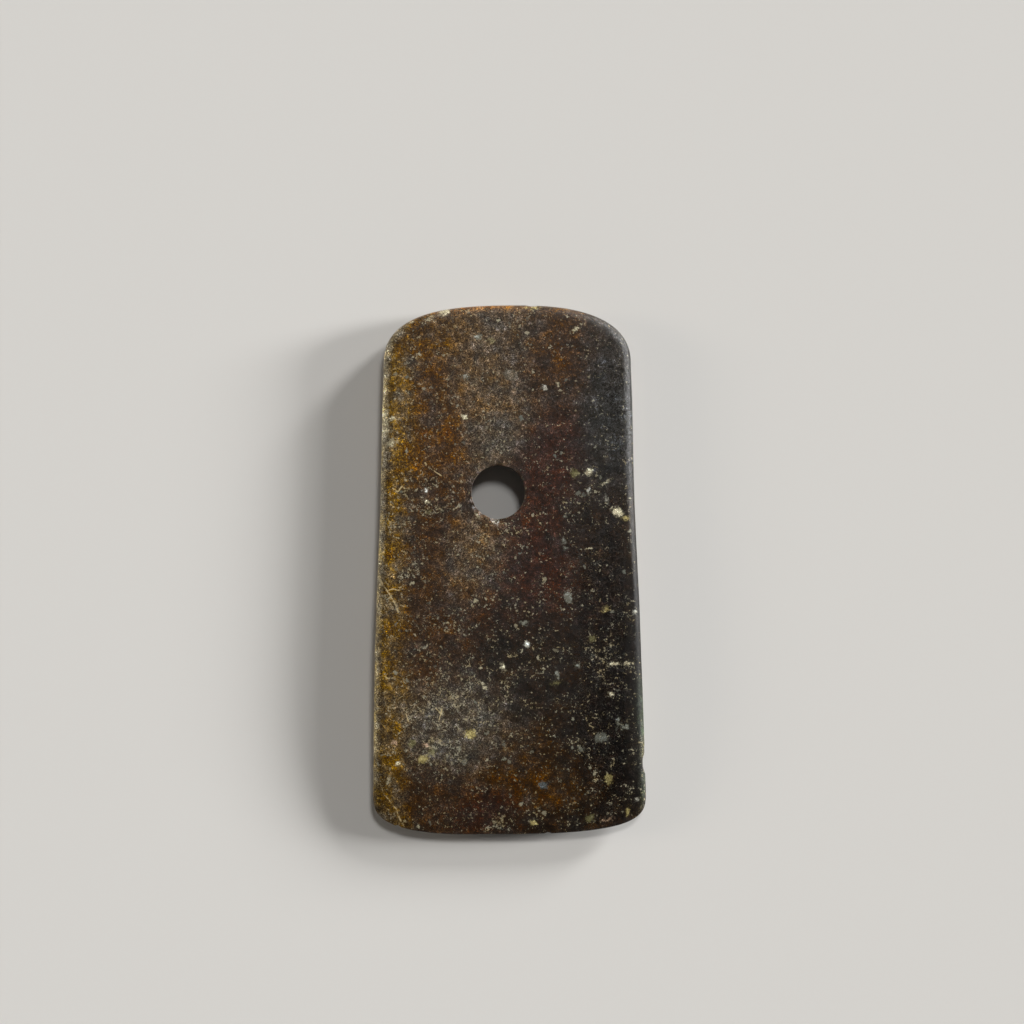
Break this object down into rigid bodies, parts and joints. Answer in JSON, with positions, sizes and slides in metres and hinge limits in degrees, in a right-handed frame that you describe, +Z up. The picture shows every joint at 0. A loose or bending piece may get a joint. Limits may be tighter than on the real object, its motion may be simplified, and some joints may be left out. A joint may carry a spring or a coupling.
{
  "type": "jadeite axe head",
  "caption": "Thin polished stone axe head with a rounded butt, a ground cutting edge and a drilled hafting hole, worn and chipped.",
  "frame": {"origin": "centre of the footprint, on the surface that the back rests on", "axes": "+Y along the length towards the rounded butt, -Y towards the cutting edge, +Z up out of the front face, +X across the width"},
  "size_m": [0.0774, 0.15, 0.0082],
  "materials": {
    "jade": "satin polish, mottled ochre brown to dark grey-green, with pale flecks"
  },
  "bodies": {
    "root": {"axe_head": "jade"}
  },
  "joints": []
}
